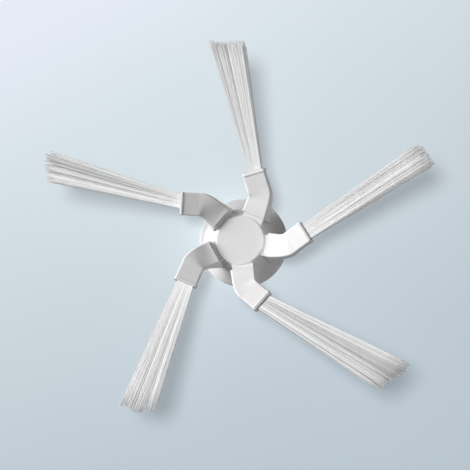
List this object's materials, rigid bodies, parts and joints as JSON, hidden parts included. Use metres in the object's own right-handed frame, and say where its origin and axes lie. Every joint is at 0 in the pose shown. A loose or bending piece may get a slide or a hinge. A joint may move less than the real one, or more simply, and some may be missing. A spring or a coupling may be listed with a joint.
{
  "type": "robot vacuum side brush",
  "caption": "White side brush for a robot vacuum: bell-shaped hub with cranked arms around a flat cap, each arm holding a fanned tuft of pale nylon bristles.",
  "frame": {"origin": "on the hub's axis at the mouth of the drive socket, in the plane of the rim", "axes": "+Z along the hub's axis, from the drive socket to the flat cap, which faces the floor in use; +X along the root of the first arm"},
  "size_m": [0.1506, 0.1499, 0.0297],
  "materials": {
    "white_plastic": "fine satin moulding, white",
    "nylon_bristle": "slightly translucent nylon filament, off-white"
  },
  "bodies": {
    "root": {"hub_with_arms": "white_plastic", "bristle_tuft_1": "nylon_bristle", "bristle_tuft_2": "nylon_bristle", "bristle_tuft_3": "nylon_bristle", "bristle_tuft_4": "nylon_bristle", "bristle_tuft_5": "nylon_bristle"}
  },
  "joints": []
}
